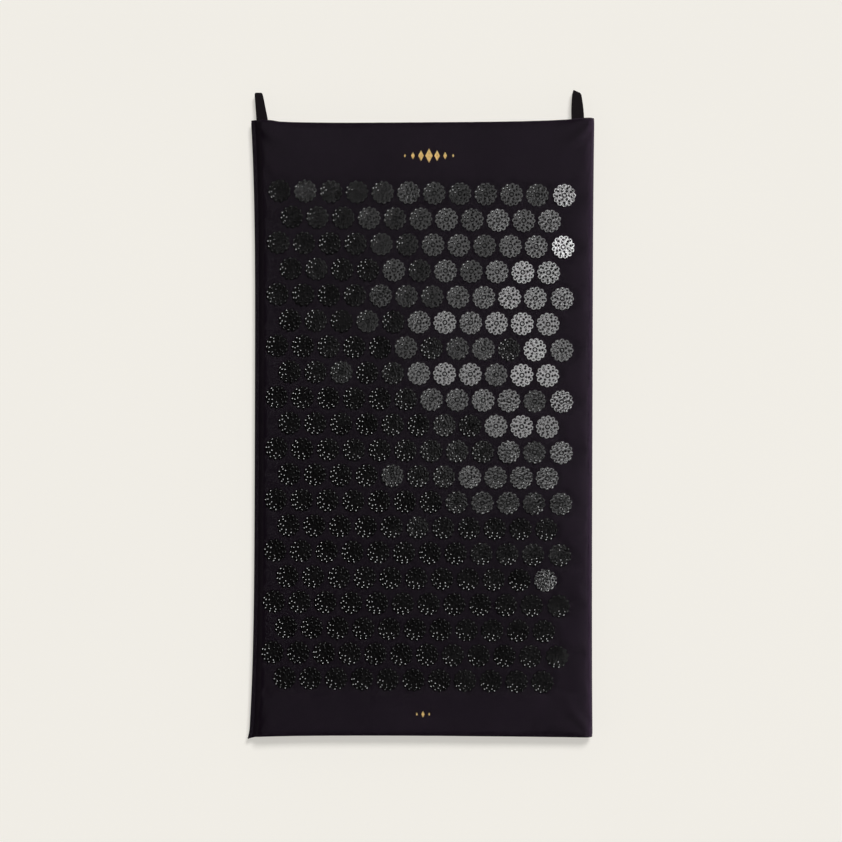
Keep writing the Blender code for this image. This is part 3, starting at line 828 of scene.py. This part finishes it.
def lights():
    """A soft key from the head end, and the softboxes over the mat that show in its gloss."""
    sun = bpy.data.lights.new("key", "SUN")
    sun.energy, sun.angle = KEY_STRENGTH, KEY_SPREAD
    key = bpy.data.objects.new("key", sun)
    bpy.context.scene.collection.objects.link(key)
    towards = Vector((*KEY_TOWARDS, 0)).normalized() * math.cos(KEY_HEIGHT)
    towards.z = math.sin(KEY_HEIGHT)
    key.rotation_euler = towards.to_track_quat("Z", "Y").to_euler()
    key.visible_glossy = False

    across = Vector((math.cos(PANEL_TURN), math.sin(PANEL_TURN)))
    along = Vector((-across.y, across.x))
    for name, low, high, share in PANEL_SPANS:
        for k in range(PANELS + 1):
            width = PANEL_STEP if k < PANELS else PANEL_LAST
            middle = across * (PANEL_START + PANEL_STEP * k + width / 2) + along * (low + high) / 2
            radiance = PANEL_RISE * PANEL_STEP * (k + PANEL_FIRST) * share
            panel_light(f"{name}_panel_{k + 1}", *middle, (width, high - low), radiance, PANEL_TURN)
    for number, turn in enumerate(FAR_BOX_TURNS):
        x = FAR_BOX_CENTRE[0] + FAR_BOX_REACH * math.cos(turn)
        y = FAR_BOX_CENTRE[1] + FAR_BOX_REACH * math.sin(turn)
        panel_light(f"far_box_{number + 1}", x, y, FAR_BOX_SIZE, FAR_BOX_RADIANCE, turn)


def edge_light(cover):
    """A long low softbox to the right, kept to the cover, that lifts its right rolled edge."""
    light = panel_light("low_box", 0, 0, LOW_BOX_SIZE, LOW_BOX_RADIANCE)
    light.location = LOW_BOX_PLACE
    light.rotation_euler = (math.pi / 2, 0, math.pi / 2)
    light.visible_diffuse = True
    light.visible_glossy = False
    lit = bpy.data.collections.new("lit_by_low_box")
    lit.objects.link(cover)
    light.light_linking.receiver_collection = lit


def floor():
    """A plain pale floor of matt paper, with a little light of its own."""
    corners = [(x * FLOOR_REACH, y * FLOOR_REACH, 0) for x, y in ((-1, -1), (1, -1), (1, 1), (-1, 1))]
    obj = mesh_object("floor", corners, [(0, 1, 2, 3)])
    paper = Nodes("pale_floor")
    tone = paper.ramp(paper.noise(scale=3.0, detail=2.0), 0.3, FLOOR_DARK, 0.7, FLOOR_LIGHT)
    obj.data.materials.append(paper.finish(
        Base_Color=tone, Roughness=0.9, Specular_IOR_Level=0.05,
        Emission_Color=FLOOR_GLOW, Emission_Strength=1.0))
    obj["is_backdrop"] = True


def camera():
    """Straight above the mat, as the photograph has it."""
    data = bpy.data.cameras.new("camera")
    data.lens = LENS
    data.sensor_width = SENSOR
    data.clip_end = 50
    obj = bpy.data.objects.new("camera", data)
    bpy.context.scene.collection.objects.link(obj)
    obj.location = (VIEW_X, VIEW_Y, SEAM_Z + VIEW_WIDTH * LENS / SENSOR)
    bpy.context.scene.camera = obj


for start_object in ("Cube", "Light", "Camera"):
    if start_object in bpy.data.objects:
        bpy.data.objects.remove(bpy.data.objects[start_object])

bpy.context.scene.view_settings.view_transform = "Standard"
front_cloth = cloth_material("cotton_sateen", (0.0080, 0.0050, 0.0088), (0.0114, 0.0073, 0.0124), thread=2600,
                             roughness=0.22, specular=0.010, sheen=0.022, printed=True)
back_cloth = cloth_material("cotton_plain", (0.0120, 0.0095, 0.0120), (0.0160, 0.0130, 0.0160), thread=1900,
                            roughness=0.75, specular=0.05, sheen=0.02)
tape_cloth = cloth_material("cotton_tape", (0.0086, 0.0061, 0.0078), (0.0124, 0.0088, 0.0112), thread=1500,
                            roughness=0.80, specular=0.03, sheen=0.02)
sky()
lights()
floor()
camera()
foam_core(foam_material())
edge_light(cover_front(front_cloth))
cover_back(back_cloth)
disc_rows(plastic_material())
for side in ("left", "right"):
    hanging_loop(side, tape_cloth)

visual_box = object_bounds()
for name, box in (("CAD box", cad_box), ("visual box", visual_box)):
    print(name, [[round(v, 5) for v in corner] for corner in box])
